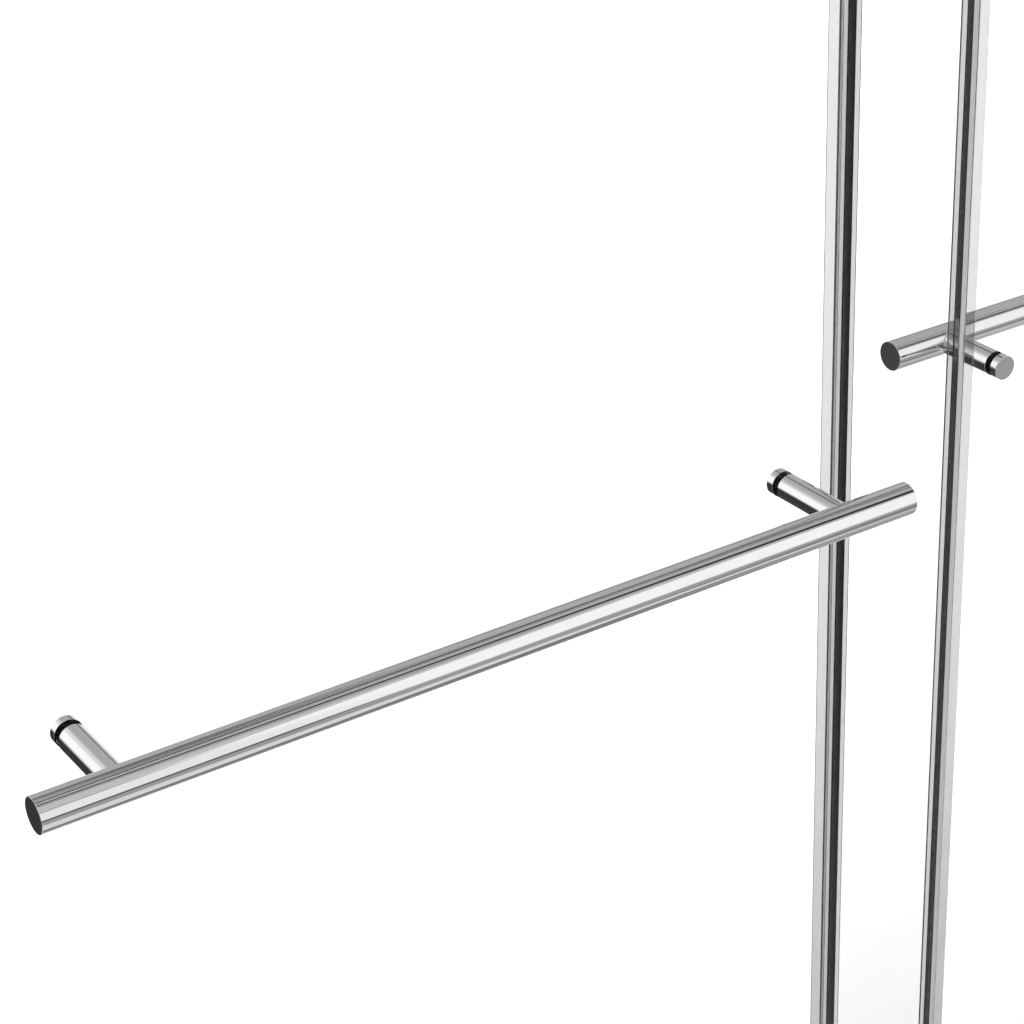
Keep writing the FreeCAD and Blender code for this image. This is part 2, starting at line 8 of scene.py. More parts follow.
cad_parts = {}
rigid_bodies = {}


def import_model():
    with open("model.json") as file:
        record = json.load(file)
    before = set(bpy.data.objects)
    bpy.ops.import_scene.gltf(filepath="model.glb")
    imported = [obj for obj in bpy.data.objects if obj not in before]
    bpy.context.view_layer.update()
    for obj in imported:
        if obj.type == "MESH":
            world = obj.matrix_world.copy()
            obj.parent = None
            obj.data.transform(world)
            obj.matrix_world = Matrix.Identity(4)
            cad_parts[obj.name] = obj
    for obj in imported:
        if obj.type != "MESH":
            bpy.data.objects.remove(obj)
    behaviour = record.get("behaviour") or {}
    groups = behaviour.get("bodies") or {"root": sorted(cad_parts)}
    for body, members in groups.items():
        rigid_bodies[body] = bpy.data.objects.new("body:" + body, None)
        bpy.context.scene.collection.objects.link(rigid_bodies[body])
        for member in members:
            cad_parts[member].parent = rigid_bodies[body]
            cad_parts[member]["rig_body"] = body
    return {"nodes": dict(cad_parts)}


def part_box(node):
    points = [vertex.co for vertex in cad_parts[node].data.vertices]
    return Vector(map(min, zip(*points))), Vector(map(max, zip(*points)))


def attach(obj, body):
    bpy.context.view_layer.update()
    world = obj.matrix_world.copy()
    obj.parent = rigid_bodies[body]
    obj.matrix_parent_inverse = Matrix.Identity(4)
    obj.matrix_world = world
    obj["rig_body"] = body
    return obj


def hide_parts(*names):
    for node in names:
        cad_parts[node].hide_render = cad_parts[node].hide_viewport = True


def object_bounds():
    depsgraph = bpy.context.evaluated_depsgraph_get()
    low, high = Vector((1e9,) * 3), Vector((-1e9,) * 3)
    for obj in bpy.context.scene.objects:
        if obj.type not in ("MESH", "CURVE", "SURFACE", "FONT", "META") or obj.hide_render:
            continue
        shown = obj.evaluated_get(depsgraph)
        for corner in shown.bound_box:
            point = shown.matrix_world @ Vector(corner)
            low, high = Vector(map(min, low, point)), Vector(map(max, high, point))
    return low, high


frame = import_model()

MM = 0.001
cad_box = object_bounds()
scene = bpy.context.scene
collection = scene.collection

# ---- Camera ----

CAMERA_PLACE = Vector((-1.06694, -1.2024, 1.50222))
CAMERA_AIM = Vector((-0.329, -0.029, 0.78609))
CAMERA_ROLL = math.radians(-2.463)
LENS_MM = 90.604
FAR_CLIP = 50


def make_camera():
    camera = bpy.data.objects.new("camera", bpy.data.cameras.new("camera"))
    collection.objects.link(camera)
    camera.data.lens = LENS_MM
    camera.data.clip_end = FAR_CLIP
    camera.location = CAMERA_PLACE
    aim = (CAMERA_AIM - CAMERA_PLACE).to_track_quat("-Z", "Y")
    camera.rotation_euler = (aim.to_matrix() @ Matrix.Rotation(CAMERA_ROLL, 3, "Z")).to_euler()
    scene.camera = camera


# ---- Node helpers ----


def new_node(tree, kind, inputs=(), **settings):
    """A shader node with settings, and inputs given as values or as sockets to link."""
    item = tree.nodes.new("ShaderNode" + kind)
    for key, value in settings.items():
        setattr(item, key, value)
    for key, value in dict(inputs).items():
        if isinstance(value, bpy.types.NodeSocket):
            tree.links.new(value, item.inputs[key])
        else:
            item.inputs[key].default_value = value
    return item


def math_node(tree, operation, *values):
    """The result of a Math node on values or sockets."""
    return new_node(tree, "Math", enumerate(values), operation=operation).outputs[0]


def map_range(tree, value, low, high, to_low, to_high, smooth=False):
    kind = "SMOOTHSTEP" if smooth else "LINEAR"
    inputs = {"Value": value, "From Min": low, "From Max": high,
              "To Min": to_low, "To Max": to_high}
    return new_node(tree, "MapRange", inputs, interpolation_type=kind).outputs["Result"]


def grey(tone):
    """The linear light of an 8-bit display tone."""
    share = tone / 255
    return share / 12.92 if share <= 0.04045 else ((share + 0.055) / 1.055) ** 2.4


# ---- Studio ----

WHITE_LIGHT = 1.6
BACKDROP_LIGHT = 1.35
MIRROR_LOSS = 0.9
# Light Path counts are whole numbers, so each limit lies halfway between two of them. Light bent
# through more surfaces than two sheets of glass comes from the studio's cards, and light that has
# passed both legs of a seal as well finds only dark.
NO_BOUNCE = 0.5
CLEAR_SURFACES = 4.5
STACKED_SURFACES = 7.5
BENT_GAIN = 1.7
# Degrees.
HALF_TURN = 180.0
FULL_TURN = 360.0
# Soft boxes and dark flags round the set, which only reflections and bent light see. Bearings
# are degrees clockwise from the way the camera looks, heights are degrees above the horizon,
# and a later card covers the ones before it.
STUDIO_TONE = 165
STUDIO_CARDS = [
    # bearing, height, half width, half height, soft edge, tone
    (0, -60, 180, 34, 14, 190),
    (50, -66, 42, 15, 8, 114),
    (66, -55, 9, 4, 4, 156),
    (115, -30, 20, 10, 5, 150),
    (100, -36, 8, 9, 5, 122),
    (113, -60, 19, 19.5, 6, 209),
    (2, -27, 11, 27, 10, 226),
    (103, 58, 7, 14, 4, 152),
    (119, 50, 11, 14, 8, 187),
    (108, 42, 9, 5, 6, 187),
    (136, 10, 16, 20, 5, 227),
    (110, 12, 14, 26, 5, 241),
    (86.5, 58, 6.5, 18, 4, 38),
    (130, -15, 7, 3.5, 4, 62),
    (30, 66, 8, 12, 6, 100),
    (-4, 47, 5, 8, 4, 92),
    (8, 57, 6, 6, 4, 92),
    (-12, 43, 5, 4, 4, 112),
    (1, 12, 9, 5, 5, 125),
    (-60, 22, 22, 18, 16, 215),
    (-70, 14, 14, 17, 14, 251),
    (-48, -40, 34, 32, 10, 50),
    (-125, 30, 24, 40, 12, 205),
    (180, 10, 22, 50, 14, 120),
    (-150, -40, 30, 24, 14, 90),
    (155, 40, 14, 30, 12, 230),
]


def sees_cards(tree):
    """1 for light from a mirror or bent through the seals, which sees the studio's cards, and 0
    for all other light."""
    path = new_node(tree, "LightPath").outputs
    mirrored = math_node(tree, "GREATER_THAN", path["Glossy Depth"], NO_BOUNCE)
    bent = math_node(tree, "GREATER_THAN", path["Transmission Depth"], CLEAR_SURFACES)
    return math_node(tree, "MAXIMUM", mirrored, bent)


def studio_world():
    """Plain white light for all but reflections and bent light, which see the studio's cards."""
    world = bpy.data.worlds.new("studio")
    world.use_nodes = True
    world.cycles.sampling_method = "NONE"
    tree = world.node_tree
    tree.nodes.clear()
    ahead = CAMERA_AIM - CAMERA_PLACE
    heading = math.atan2(ahead.y, ahead.x)
    direction = new_node(tree, "TexCoord").outputs["Generated"]
    turned = new_node(tree, "VectorRotate", {"Vector": direction, "Angle": -heading},
                      rotation_type="Z_AXIS").outputs[0]
    parts = new_node(tree, "SeparateXYZ", {0: turned}).outputs
    minus_y = math_node(tree, "MULTIPLY", parts["Y"], -1.0)
    bearing = math_node(tree, "DEGREES", math_node(tree, "ARCTAN2", minus_y, parts["X"]))
    height = math_node(tree, "DEGREES", math_node(tree, "ARCSINE", parts["Z"]))
    colour = grey(STUDIO_TONE)
    for card_bearing, card_height, half_width, half_height, soft, tone in STUDIO_CARDS:
        # The turn from the card to the ray, wrapped to at most half a turn either way.
        shifted = math_node(tree, "ADD", bearing, FULL_TURN + HALF_TURN - card_bearing)
        wrapped = math_node(tree, "MODULO", shifted, FULL_TURN)
        across = math_node(tree, "ABSOLUTE", math_node(tree, "SUBTRACT", wrapped, HALF_TURN))
        up = math_node(tree, "ABSOLUTE", math_node(tree, "SUBTRACT", height, float(card_height)))
        mask_x = map_range(tree, across, half_width - soft / 2, half_width + soft / 2, 1, 0, True)
        mask_y = map_range(tree, up, half_height - soft / 2, half_height + soft / 2, 1, 0, True)
        mask = math_node(tree, "MULTIPLY", mask_x, mask_y)
        colour = new_node(tree, "Mix", {0: mask, 2: colour, 3: grey(tone)}).outputs[0]
    mirror = new_node(tree, "Background", {"Color": colour})
    path = new_node(tree, "LightPath").outputs
    mirrored = math_node(tree, "GREATER_THAN", path["Glossy Depth"], NO_BOUNCE)
    stacked = math_node(tree, "GREATER_THAN", path["Transmission Depth"], STACKED_SURFACES)
    bent_gain = map_range(tree, stacked, 0, 1, BENT_GAIN, 0)
    gain = map_range(tree, mirrored, 0, 1, bent_gain, 1 / MIRROR_LOSS)
    tree.links.new(gain, mirror.inputs["Strength"])
    seen = math_node(tree, "LESS_THAN", path["Diffuse Depth"], NO_BOUNCE)
    strength = map_range(tree, seen, 0, 1, WHITE_LIGHT, BACKDROP_LIGHT)
    plain = new_node(tree, "Background", {"Color": (1, 1, 1, 1), "Strength": strength})
    mix = new_node(tree, "MixShader",
                   {0: sees_cards(tree), 1: plain.outputs[0], 2: mirror.outputs[0]})
    out = new_node(tree, "OutputWorld")
    tree.links.new(mix.outputs[0], out.inputs["Surface"])
    scene.world = world


FLOOR_HALF = 12.0
FLOOR_DROP = 0.2 * MM
FLOOR_SHADES = (0.93, 0.96)
# The part of a noise's range that sets how far a colour or roughness has drifted.
NOISE_LOW = 0.3
NOISE_HIGH = 0.7


def make_floor():
    """A wide pale floor, which reflections and bent light pass to see the studio's cards."""
    bm = bmesh.new()
    bmesh.ops.create_grid(bm, x_segments=4, y_segments=4, size=FLOOR_HALF)
    for vertex in bm.verts:
        vertex.co.z = cad_box[0].z - FLOOR_DROP
    mesh = bpy.data.meshes.new("floor")
    bm.to_mesh(mesh)
    bm.free()
    floor = bpy.data.objects.new("floor", mesh)
    collection.objects.link(floor)
    material = bpy.data.materials.new("pale_floor")
    material.use_nodes = True
    tree = material.node_tree
    tree.nodes.clear()
    grain = new_node(tree, "TexNoise", {"Scale": 40.0, "Detail": 4.0}).outputs["Fac"]
    shade = map_range(tree, grain, NOISE_LOW, NOISE_HIGH, *FLOOR_SHADES)
    colour = new_node(tree, "CombineColor", {0: shade, 1: shade, 2: shade}).outputs[0]
    diffuse = new_node(tree, "BsdfDiffuse", {"Color": colour}).outputs[0]
    clear = new_node(tree, "BsdfTransparent").outputs[0]
    mix = new_node(tree, "MixShader", {0: sees_cards(tree), 1: diffuse, 2: clear}).outputs[0]
    new_node(tree, "OutputMaterial", {"Surface": mix})
    floor.data.materials.append(material)


# ---- Materials ----


def surface(name, colours, metallic, roughness, scale, stretch=(1, 1, 1), bump_mm=0.0,
            bump_scale=None, **sockets):
    """A Principled material whose colour drifts between two values with a noise that can be
    stretched along an axis, and whose surface can have a fine relief. Roughness is one number,
    or two that it drifts between."""
    material = bpy.data.materials.new(name)
    material.use_nodes = True
    tree = material.node_tree
    tree.nodes.clear()
    place = new_node(tree, "TexCoord").outputs["Object"]
    spread = new_node(tree, "Mapping", {"Vector": place, "Scale": stretch}).outputs[0]
    noise = new_node(tree, "TexNoise", {"Vector": spread, "Scale": scale, "Detail": 5.0,
                                        "Roughness": 0.6}).outputs["Fac"]
    drift = map_range(tree, noise, NOISE_LOW, NOISE_HIGH, 0, 1)
    low, high = (tuple(c) + (1.0,) for c in colours)
    colour = new_node(tree, "Mix", {0: drift, 6: low, 7: high}, data_type="RGBA").outputs[2]
    shader = new_node(tree, "BsdfPrincipled", {"Base Color": colour, "Metallic": metallic})
    if isinstance(roughness, tuple):
        rough = map_range(tree, noise, NOISE_LOW, NOISE_HIGH, *roughness)
        tree.links.new(rough, shader.inputs["Roughness"])
    else:
        shader.inputs["Roughness"].default_value = roughness
    for socket, value in sockets.items():
        shader.inputs[socket.replace("_", " ")].default_value = value
    if bump_mm:
        fine = new_node(tree, "TexNoise", {"Vector": spread, "Scale": bump_scale or scale,
                                           "Detail": 3.0}).outputs["Fac"]
        bump = new_node(tree, "Bump", {"Height": fine, "Strength": 1.0,
                                       "Distance": bump_mm * MM}).outputs[0]
        tree.links.new(bump, shader.inputs["Normal"])
    out = new_node(tree, "OutputMaterial")
    tree.links.new(shader.outputs[0], out.inputs["Surface"])
    return material


def make_materials():
    """A material for each slot of the record, and one for each finish, painted glow or painted
    shade that a slot has besides.
    """
    along_x = (0.02, 1, 1)
    return {
        "chrome": surface(
            "chrome", [(0.90, 0.90, 0.91), (0.93, 0.93, 0.935)], 1.0, (0.012, 0.03), scale=35.0),
        "bright_aluminium": surface(
            "bright_aluminium", [(0.80, 0.805, 0.81), (0.86, 0.865, 0.87)], 1.0, (0.10, 0.17),
            stretch=along_x, scale=900.0, bump_mm=0.004),
        "bright_aluminium_upright": surface(
            "bright_aluminium_upright", [(0.80, 0.805, 0.81), (0.86, 0.865, 0.87)], 1.0,
            (0.10, 0.17), stretch=(1, 1, 0.02), scale=900.0, bump_mm=0.004),
        "clear_glass": surface(
            "clear_glass", [(0.993, 0.997, 0.995), (0.997, 0.999, 0.998)], 0.0, 0.0, scale=3.0,
            bump_mm=0.004, bump_scale=6.0, Transmission_Weight=1.0, IOR=1.52,
            Specular_Tint=(0.1, 0.1, 0.1, 1)),
        # The ground edge's satin colour and roughness are its own; its emission is a painted glow
        # that stands in for light piped along the pane to its edge.
        "ground_glass_painted_glow": surface(
            "ground_glass_painted_glow", [(0.80, 0.81, 0.805), (0.88, 0.885, 0.88)], 0.0, (0.5, 0.7),
            scale=900.0, bump_mm=0.01, Emission_Color=(1, 1, 1, 1), Emission_Strength=0.75),
        "clear_vinyl": surface(
            "clear_vinyl", [(0.56, 0.56, 0.56), (0.58, 0.58, 0.58)], 0.0, 0.0,
            stretch=(1, 1, 0.01), scale=700.0, bump_mm=0.004, Transmission_Weight=1.0, IOR=1.5,
            Specular_Tint=(0.35, 0.35, 0.35, 1)),
        "clear_nylon": surface(
            "clear_nylon", [(0.90, 0.90, 0.88), (0.95, 0.95, 0.94)], 0.0, (0.25, 0.4), scale=300.0,
            Transmission_Weight=0.75, IOR=1.5),
        # The washers are clear nylon; this near-black is painted shade, as dark as the gasket ring
        # beside them, not the nylon's own colour.
        "nylon_painted_dark": surface(
            "nylon_painted_dark", [(0.002, 0.002, 0.002), (0.006, 0.006, 0.006)], 0.0, (0.4, 0.6),
            scale=300.0, bump_mm=0.01, Specular_IOR_Level=0.1),
        "black_rubber": surface(
            "black_rubber", [(0.001, 0.001, 0.001), (0.004, 0.004, 0.004)], 0.0, (0.6, 0.8),
            scale=1500.0, bump_mm=0.02, Specular_IOR_Level=0.1),
        "grey_rubber": surface(
            "grey_rubber", [(0.16, 0.165, 0.17), (0.21, 0.215, 0.22)], 0.0, (0.55, 0.75),
            scale=1200.0, bump_mm=0.03),
        "stainless": surface(
            "stainless", [(0.55, 0.55, 0.56), (0.68, 0.68, 0.69)], 1.0, (0.18, 0.30),
            stretch=along_x, scale=1500.0, bump_mm=0.006),
        "white_nylon": surface(
            "white_nylon", [(0.70, 0.70, 0.68), (0.78, 0.78, 0.76)], 0.0, (0.35, 0.5),
            scale=500.0, bump_mm=0.01),
        "grey_plastic": surface(
            "grey_plastic", [(0.22, 0.225, 0.23), (0.27, 0.275, 0.28)], 0.0, (0.25, 0.4),
            scale=900.0, bump_mm=0.015),
    }


# ---- Mesh helpers ----

SHARP_DEGREES = 35
FLAT_DEGREES = 0.5
# Points closer than this are one point, in a CAD mesh and along a turned part's seam.
CAD_WELD = 0.002 * MM
SEAM_WELD = 0.001 * MM
NO_LENGTH = 1e-9
NO_RADIUS = 1e-7
# The cube of a face's share of the biggest area is its weight in a corner's normal.
AREA_POWER = 3
# Sides of a turned part: bar, cap and post, gasket.
BAR_SIDES = 160
CAP_SIDES = 128
GASKET_SIDES = 96


def corner_normals(bm):
    """A normal for each face corner in which the biggest faces round the corner lead, so that
    flat faces stay flat and bars stay true right up to their rounded edges."""
    bm.normal_update()
    areas = {face: face.calc_area() for face in bm.faces}
    normals = []
    for face in bm.faces:
        for corner in face.loops:
            around = smooth_neighbours(corner)
            biggest = max(areas[other] for other in around) or 1.0
            total = Vector((0, 0, 0))
            for other in around:
                total += other.normal * (areas[other] / biggest) ** AREA_POWER
            clear = total.length > NO_LENGTH
            normals.append(total.normalized() if clear else face.normal.copy())
    return normals


def smooth_neighbours(corner):
    """The faces round a corner's vertex that are reached without crossing a sharp edge, in the
    same order on every run."""
    found = [corner.face]
    for edge in (corner.edge, corner.link_loop_prev.edge):
        here = corner
        while edge.smooth and len(edge.link_faces) == 2:
            side = here if here.edge == edge else here.link_loop_prev
            other = side.link_loop_radial_next
            here = other if other.vert == corner.vert else other.link_loop_next
            if here.face in found:
                break
            found.append(here.face)
            edge = here.edge if here.edge != edge else here.link_loop_prev.edge
    return found


def finish_piece(name, bm, body, slot, replaced, material=None):
    """Turn a bmesh in the row frame into a smooth-shaded piece that stands for CAD nodes."""
    bmesh.ops.recalc_face_normals(bm, faces=bm.faces)
    sharp = math.radians(SHARP_DEGREES)
    for edge in bm.edges:
        if len(edge.link_faces) == 2 and edge.calc_face_angle() > sharp:
            edge.smooth = False
    for face in bm.faces:
        face.smooth = True
    normals = corner_normals(bm)
    mesh = bpy.data.meshes.new(name)
    bm.to_mesh(mesh)
    bm.free()
    mesh.normals_split_custom_set(normals)
    piece = bpy.data.objects.new(name, mesh)
    collection.objects.link(piece)
    mesh.materials.append(materials[material or slot])
    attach(piece, body)
    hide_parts(*replaced)


def rounded_path(points, closed=False, steps=5):
    """Corners given as (x, y) or (x, y, radius) with each radius turned into an arc."""
    path = []
    count = len(points)
    for i, point in enumerate(points):
        here = Vector(point[:2])
        radius = point[2] if len(point) > 2 else 0
        if not radius or (not closed and i in (0, count - 1)):
            path.append(here)
            continue
        to_last = (Vector(points[i - 1][:2]) - here).normalized()
        to_next = (Vector(points[(i + 1) % count][:2]) - here).normalized()
        half = math.acos(max(-1, min(1, to_last.dot(to_next)))) / 2
        reach = radius / math.tan(half)
        centre = here + (to_last + to_next).normalized() * radius / math.sin(half)
        start = here + to_last * reach - centre
        end = here + to_next * reach - centre
        turn = math.atan2(start.x * end.y - start.y * end.x, start.dot(end))
        for step in range(steps + 1):
            path.append(centre + Matrix.Rotation(turn * step / steps, 2) @ start)
    return path


def lathe(bm, profile, centre, axis, segments=64):
    """Turn a profile of (radius, distance) about an axis through centre; radius 0 closes it.
    A third number makes that ring a regular polygon of so many sides round the radius."""
    turn = Vector(axis).to_track_quat("Z", "Y").to_matrix().to_4x4()
    frame_matrix = Matrix.Translation(centre) @ turn
    rings = []
    for radius, distance, *sides in profile:
        if radius < NO_RADIUS:
            rings.append([bm.verts.new(frame_matrix @ Vector((0, 0, distance)))])
            continue
        ring = []
        for i in range(segments):
            angle = 2 * math.pi * i / segments
            reach = radius
            if sides:
                step = math.pi / sides[0]
                reach = radius / math.cos((angle + step) % (2 * step) - step)
            spot = Vector((reach * math.cos(angle), reach * math.sin(angle), distance))
            ring.append(bm.verts.new(frame_matrix @ spot))
        rings.append(ring)
    join_rings(bm, rings, segments)


def join_rings(bm, rings, segments):
    """Skin each ring of points to the next; a ring of one point closes to a tip."""
    for low, high in zip(rings, rings[1:]):
        for i in range(segments):
            j = (i + 1) % segments
            corners = [low[i % len(low)], low[j % len(low)],
                       high[j % len(high)], high[i % len(high)]]
            corners = list(dict.fromkeys(corners))
            if len(corners) > 2:
                bm.faces.new(corners)


def extrude_path(bm, path, to_place, low, high, spans=1):
    """Extrude a closed outline from low to high; to_place turns (x, y, distance) to a point."""
    rings = []
    for span in range(spans + 1):
        distance = low + (high - low) * span / spans
        rings.append([bm.verts.new(to_place(p[0], p[1], distance)) for p in path])
    join_rings(bm, rings, len(path))
    bm.faces.new(rings[0])
    bm.faces.new(reversed(rings[-1]))


def softened_copy(node, slot, edge_mm, segments=2, material=None, sharp_degrees=SHARP_DEGREES):
    """A copy of a CAD node with clean faces and its sharp edges broken by a small round."""
    bm = bmesh.new()
    bm.from_mesh(frame["nodes"][node].data)
    bmesh.ops.remove_doubles(bm, verts=bm.verts, dist=CAD_WELD)
    bmesh.ops.dissolve_limit(bm, angle_limit=math.radians(FLAT_DEGREES), verts=bm.verts,
                             edges=bm.edges)
    bmesh.ops.recalc_face_normals(bm, faces=bm.faces)
    sharp = math.radians(sharp_degrees)
    edges = [e for e in bm.edges if len(e.link_faces) == 2 and e.calc_face_angle() > sharp]
    bmesh.ops.bevel(bm, geom=edges, offset=edge_mm * MM, segments=segments, profile=0.5,
                    affect="EDGES", clamp_overlap=True)
    body = frame["nodes"][node]["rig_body"]
    finish_piece(f"{node}_piece", bm, body, slot, [node], material)


def in_mm(profile):
    """A lathe profile given in millimetres, in metres."""
    return [(radius * MM, distance * MM, *sides) for radius, distance, *sides in profile]


def solid_boxes(node):
    """The low and high corners of each separate solid in a CAD node."""
    bm = bmesh.new()
    bm.from_mesh(frame["nodes"][node].data)
    bmesh.ops.remove_doubles(bm, verts=bm.verts, dist=CAD_WELD)
    waiting = set(bm.verts)
    boxes = []
    while waiting:
        front = [waiting.pop()]
        low = front[0].co.copy()
        high = low.copy()
        while front:
            vertex = front.pop()
            for i in range(3):
                low[i] = min(low[i], vertex.co[i])
                high[i] = max(high[i], vertex.co[i])
            for edge in vertex.link_edges:
                other = edge.other_vert(vertex)
                if other in waiting:
                    waiting.remove(other)
                    front.append(other)
        boxes.append((low, high))
    bm.free()
    return sorted(boxes, key=lambda pair: tuple(pair[0]))


def turned_set(node, body, slot, axis, profile, segments=48, material=None):
    """One piece for a node made of equal turned solids; the profile (in mm) starts at each
    solid's back end and runs along the axis."""
    bm = bmesh.new()
    along = max(range(3), key=lambda i: abs(axis[i]))
    for low, high in solid_boxes(node):
        start = (low + high) / 2
        start[along] = low[along] if axis[along] > 0 else high[along]
        lathe(bm, profile, start, axis, segments)
    bmesh.ops.remove_doubles(bm, verts=bm.verts, dist=SEAM_WELD)
    finish_piece(f"{node}_piece", bm, body, slot, [node], material)


def middle(node):
    low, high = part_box(node)
    return (low + high) / 2


def span(node):
    low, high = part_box(node)
    return high - low


# ---- Turned small parts ----
# Radius and distance along the axis in millimetres; a third number is a radius to round the
# corner with, or after in_mm the number of sides of a socket.


def small_part(corners, socket=None):
    """A turned outline in metres with its corners rounded, and a hexagon socket at one end."""
    path = [(point.x * MM, point.y * MM) for point in rounded_path(corners, steps=3)]
    if socket is None:
        return path
    apothem, face, floor = socket
    hexagon = in_mm([(apothem, face, 6), (apothem, floor, 6), (0, floor)])
    return path + hexagon if face > 0 else hexagon[::-1] + path


THREAD_PITCH = 1.0
THREAD_DEPTH = 0.35
THREAD_MARGIN = 1.0


def thread_profile(radius, length):
    """A stud with chamfered ends and V grooves at the thread's pitch."""
    root = radius - THREAD_DEPTH
    path = [(0, 0), (root, 0), (radius, THREAD_DEPTH)]
    place = THREAD_MARGIN
    while place < length - THREAD_MARGIN - THREAD_PITCH:
        path += [(radius, place), (root, place + THREAD_PITCH * 0.45),
                 (radius, place + THREAD_PITCH * 0.9)]
        place += THREAD_PITCH
    path += [(radius, length - THREAD_DEPTH), (root, length), (0, length)]
    return in_mm(path)


WHEEL_PROFILE = small_part([
    (3.05, 0), (5.6, 0, 0.3), (5.9, 0.8, 0.2), (9.2, 0.8, 0.2), (9.5, 0, 0.3), (10.6, 0, 0.2),
    (12, 1.5, 0.6), (12, 5.5, 0.6), (10.6, 7, 0.2), (9.5, 7, 0.3), (9.2, 6.2, 0.2),
    (5.9, 6.2, 0.2), (5.6, 7, 0.3), (3.05, 7), (3.05, 0)])
AXLE_PROFILE = small_part([
    (0, 0), (5, 0, 0.6), (5, 2), (3, 2), (3, 4), (4.2, 4), (4.2, 18.3, 0.3), (3, 18.3),
    (3, 25.7), (4.5, 25.7, 0.2), (4.5, 26.7, 0.3), (0, 26.7)])
HANGER_SCREW_PROFILE = small_part([
    (0, 0), (3, 0, 0.4), (3, 11.5), (5.5, 11.5, 0.2), (5.5, 13.5, 0.5), (4.5, 14.5, 0.5),
    (2.9, 14.5)], (2.2, 14.5, 12.9))
SLEEVE_PROFILE = small_part([(3.02, 0), (5, 0, 0.3), (5, 8, 0.3), (3.02, 8), (3.02, 0)])
WASHER_PROFILE = small_part([(3.02, 0), (9, 0, 0.12), (9, 0.5, 0.12), (3.02, 0.5), (3.02, 0)])
BRACKET_SCREW_PROFILE = small_part([
    (1.9, 0), (3.3, 0, 0.3), (4, 0.7, 0.3), (4, 2, 0.2), (2, 2), (2, 5, 0.2), (0, 5)],
    (1.4, 0, 1.0))
GUIDE_SCREW_PROFILE = small_part([
    (0, 0), (2, 0, 0.2), (2, 3), (4, 3, 0.2), (4, 4.3, 0.3), (3.3, 5, 0.3), (1.9, 5)],
    (1.4, 5, 4.0))


# ---- Fixed frame ----


def make_fixed_frame():
    softened_copy("sill", "bright_aluminium", 0.6)
    softened_copy("header", "bright_aluminium", 0.5)
    for side in ("left", "right"):
        softened_copy(f"jamb_{side}", "bright_aluminium", 0.35,
                      material="bright_aluminium_upright")
        softened_copy(f"header_bracket_{side}", "stainless", 0.4)
        softened_copy(f"bumpers_{side}", "grey_rubber", 1.2, segments=3)
    softened_copy("floor_guide", "grey_plastic", 0.8, segments=3)
    turned_set("header_bracket_screws", "frame", "stainless", (0, 0, 1), BRACKET_SCREW_PROFILE)
    turned_set("floor_guide_screws", "frame", "stainless", (0, 0, 1), GUIDE_SCREW_PROFILE)


# ---- Panels ----


def make_glass(panel):
    """The clear pane, and just inside it the satin of its ground edge all the way round, which
    carries a painted glow for light piped along the pane.
    """
    node = f"{panel}_glass"
    softened_copy(node, "clear_glass", 0.5, segments=1, sharp_degrees=50)
    low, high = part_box(node)
    plane = (low.y + high.y) / 2
    chamfer = 0.55 * MM
    half = (high.y - low.y) / 2 - chamfer
    shallow, deep = 0.02 * MM, 0.05 * MM
    band = [(shallow, -half), (shallow, half), (deep, half), (deep, -half), (shallow, -half)]
    bm = bmesh.new()
    rings = []
    for inset, y in band:
        ring = [(low.x + inset, low.z + inset), (high.x - inset, low.z + inset),
                (high.x - inset, high.z - inset), (low.x + inset, high.z - inset)]
        rings.append([bm.verts.new((x, plane + y, z)) for x, z in ring])
    join_rings(bm, rings, 4)
    bmesh.ops.remove_doubles(bm, verts=bm.verts, dist=SEAM_WELD)
    # The edge band takes the ground glass material with its painted glow.
    finish_piece(f"{panel}_glass_edge", bm, f"{panel}_panel", "clear_glass", [node],
                 "ground_glass_painted_glow")


def make_seal(panel, outward):
    """The clear channel and its fin, a little clear of the glass that it grips."""
    node = f"{panel}_centre_seal"
    low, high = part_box(node)
    glass_low, glass_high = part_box(f"{panel}_glass")
    toward = -outward
    edge = glass_high.x if toward > 0 else glass_low.x
    plane = (glass_low.y + glass_high.y) / 2
    gap = 0.06 * MM
    glass_half = (glass_high.y - glass_low.y) / 2 + gap
    outer = (high.y - low.y) / 2
    reach = max(abs(high.x - edge), abs(low.x - edge))
    leg = (high.x - low.x) - reach
    base = 2.0 * MM
    fin = 0.3 * MM
    lip = 0.5 * MM
    # Distance past the glass's edge, distance from its middle plane, corner radius.
    half_outline = [
        (reach, fin, 0.15 * MM),
        (base, fin, 0.4 * MM),
        (base, outer, 2.0 * MM),
        (-leg, outer, lip),
        (-leg, glass_half, lip),
        (gap, glass_half, 0.3 * MM),
    ]
    mirrored = [(x, -y, r) for x, y, r in reversed(half_outline)]
    path = rounded_path(half_outline + mirrored, closed=True)
    bm = bmesh.new()
    extrude_path(bm, path, lambda u, v, z: Vector((edge + toward * u, plane + v, z)),
                 low.z, high.z, spans=24)
    finish_piece(f"{panel}_seal_piece", bm, f"{panel}_panel", "clear_vinyl", [node])


